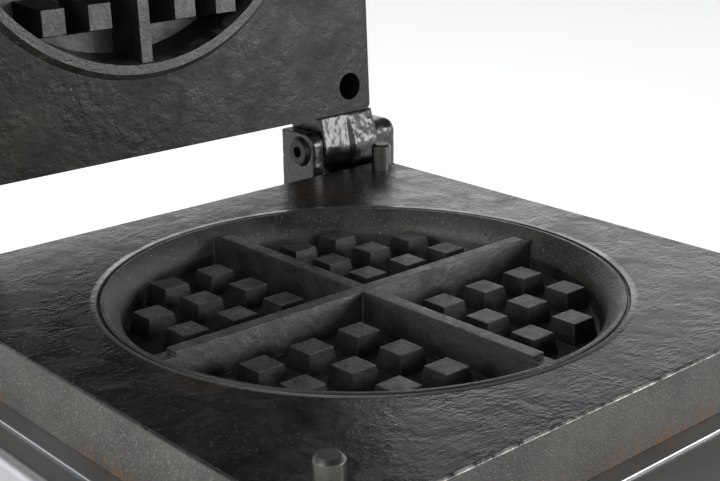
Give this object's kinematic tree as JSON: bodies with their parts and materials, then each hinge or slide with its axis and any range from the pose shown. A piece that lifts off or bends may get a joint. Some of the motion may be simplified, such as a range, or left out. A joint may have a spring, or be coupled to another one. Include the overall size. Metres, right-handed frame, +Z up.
{
  "type": "waffle iron",
  "caption": "Round quartered waffle iron: square cast-iron plates with deep moulds, lid on a rear hinge, stainless housing with thermostat knob, rocker switch and bar handle.",
  "frame": {"origin": "on the table under the middle of the iron with its lid open", "axes": "+X to the right as seen from the front, +Y towards the hinge at the back, +Z up"},
  "size_m": [0.2924, 0.4066, 0.467],
  "materials": {
    "seasoned_iron": "seasoned, satin, gritty cast sides",
    "black_casting": "glossy black stove enamel",
    "polished_stainless": "polished",
    "plain_sheet": "mill finish",
    "zinc_steel": "zinc plated",
    "black_fastener": "blackened, oily",
    "post_steel": "turned steel, heat dulled",
    "bright_fastener": "polished",
    "bronze": "turned",
    "element_sheath": "heat darkened",
    "shaft_steel": "turned",
    "black_plastic": "moulded",
    "knob_plastic": "moulded, satin gloss",
    "lamp_bezel": "polished",
    "green_lens": "translucent",
    "amber_lens": "translucent",
    "ceramic": "unglazed ceramic",
    "foot_rubber": "matt",
    "mineral_wool": "fibrous",
    "grip_phenolic": "moulded, satin"
  },
  "bodies": {
    "base": {"base_shell": "polished_stainless", "bottom_pan": "plain_sheet", "pan_screws": "zinc_steel", "plate_trim": "polished_stainless", "plate_frame": "zinc_steel", "lower_plate": "seasoned_iron", "locating_posts": "post_steel", "post_nuts": "zinc_steel", "lower_element": "element_sheath", "lower_element_clamp": "zinc_steel", "lower_clamp_screw": "zinc_steel", "heat_shield": "plain_sheet", "hinge_bar": "zinc_steel", "hinge_bracket_right": "black_casting", "hinge_bracket_left": "black_casting", "hinge_bolts": "black_fastener", "hinge_nuts": "zinc_steel", "hinge_pin_right": "black_fastener", "hinge_pin_left": "black_fastener", "hinge_pin_rings": "black_fastener", "thermostat_body": "black_plastic", "thermostat_nut": "zinc_steel", "thermostat_bulb": "shaft_steel", "switch_housing": "black_plastic", "lamp_bezels": "lamp_bezel", "power_lamp_lens": "green_lens", "heat_lamp_lens": "amber_lens", "terminal_block": "ceramic", "cord_gland": "black_plastic", "gland_locknut": "black_plastic", "rubber_feet": "foot_rubber", "foot_screws": "zinc_steel"},
    "lid": {"upper_plate": "seasoned_iron", "lid_cover": "polished_stainless", "cover_standoffs": "zinc_steel", "cover_screws": "bright_fastener", "hinge_arm_right": "black_casting", "hinge_arm_left": "black_casting", "hinge_arm_screws": "black_fastener", "hinge_bushes": "bronze", "upper_element": "element_sheath", "upper_element_clamp": "zinc_steel", "upper_clamp_screw": "zinc_steel", "lid_insulation": "mineral_wool", "handle_brackets": "bright_fastener", "handle_bracket_screws": "bright_fastener", "handle_rod": "bright_fastener", "handle_grip": "grip_phenolic", "handle_nuts": "bright_fastener"},
    "knob": {"thermostat_knob": "knob_plastic", "thermostat_shaft": "shaft_steel", "knob_set_screw": "black_fastener"},
    "rocker": {"switch_rocker": "black_plastic"}
  },
  "joints": [
    {"name": "lid_hinge", "type": "hinge", "parent": "base", "child": "lid", "pos_m": [0, 0.1389, 0.136], "axis": [1, 0, 0], "range_deg": [0, 92.5]},
    {"name": "thermostat_turn", "type": "hinge", "parent": "base", "child": "knob", "pos_m": [0.07, -0.1781, 0.062], "axis": [0, 1, 0], "range_deg": [0, 270]},
    {"name": "power_rocker", "type": "hinge", "parent": "base", "child": "rocker", "pos_m": [-0.075, -0.1761, 0.062], "axis": [1, 0, 0], "range_deg": [0, 16]}
  ]
}
